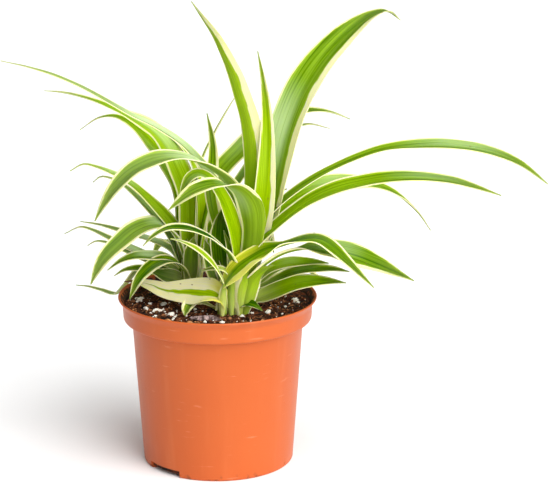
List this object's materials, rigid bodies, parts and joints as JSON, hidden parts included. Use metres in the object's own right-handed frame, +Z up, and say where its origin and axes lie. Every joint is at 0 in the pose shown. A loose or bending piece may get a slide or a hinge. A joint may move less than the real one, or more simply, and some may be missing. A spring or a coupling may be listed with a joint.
{
  "type": "potted spider plant",
  "caption": "Variegated spider plant with long arching, cream-edged leaves in dark potting soil, in a round tapered nursery pot with a deep rim band.",
  "frame": {"origin": "centre of the pot's underside, on the surface the pot stands on", "axes": "+Z up the pot's axis, +X to the right as the picture shows the plant, -Y towards the front"},
  "size_m": [0.3211, 0.1692, 0.2918],
  "materials": {
    "pot_plastic": "satin terracotta-coloured plastic",
    "potting_soil": "crumbly dark peat",
    "leaf": "smooth green leaf with cream margins and a soft sheen",
    "perlite": "chalky white perlite grains",
    "dried_root": "dry, papery"
  },
  "bodies": {
    "root": {"pot": "pot_plastic", "soil": "potting_soil", "main_shoot": "leaf", "left_shoot": "leaf", "right_shoot": "leaf", "old_rootstock": "dried_root", "perlite_1": "perlite", "perlite_2": "perlite", "perlite_3": "perlite", "perlite_4": "perlite", "perlite_5": "perlite", "perlite_6": "perlite", "perlite_7": "perlite", "perlite_8": "perlite", "perlite_9": "perlite", "perlite_10": "perlite"}
  },
  "joints": []
}
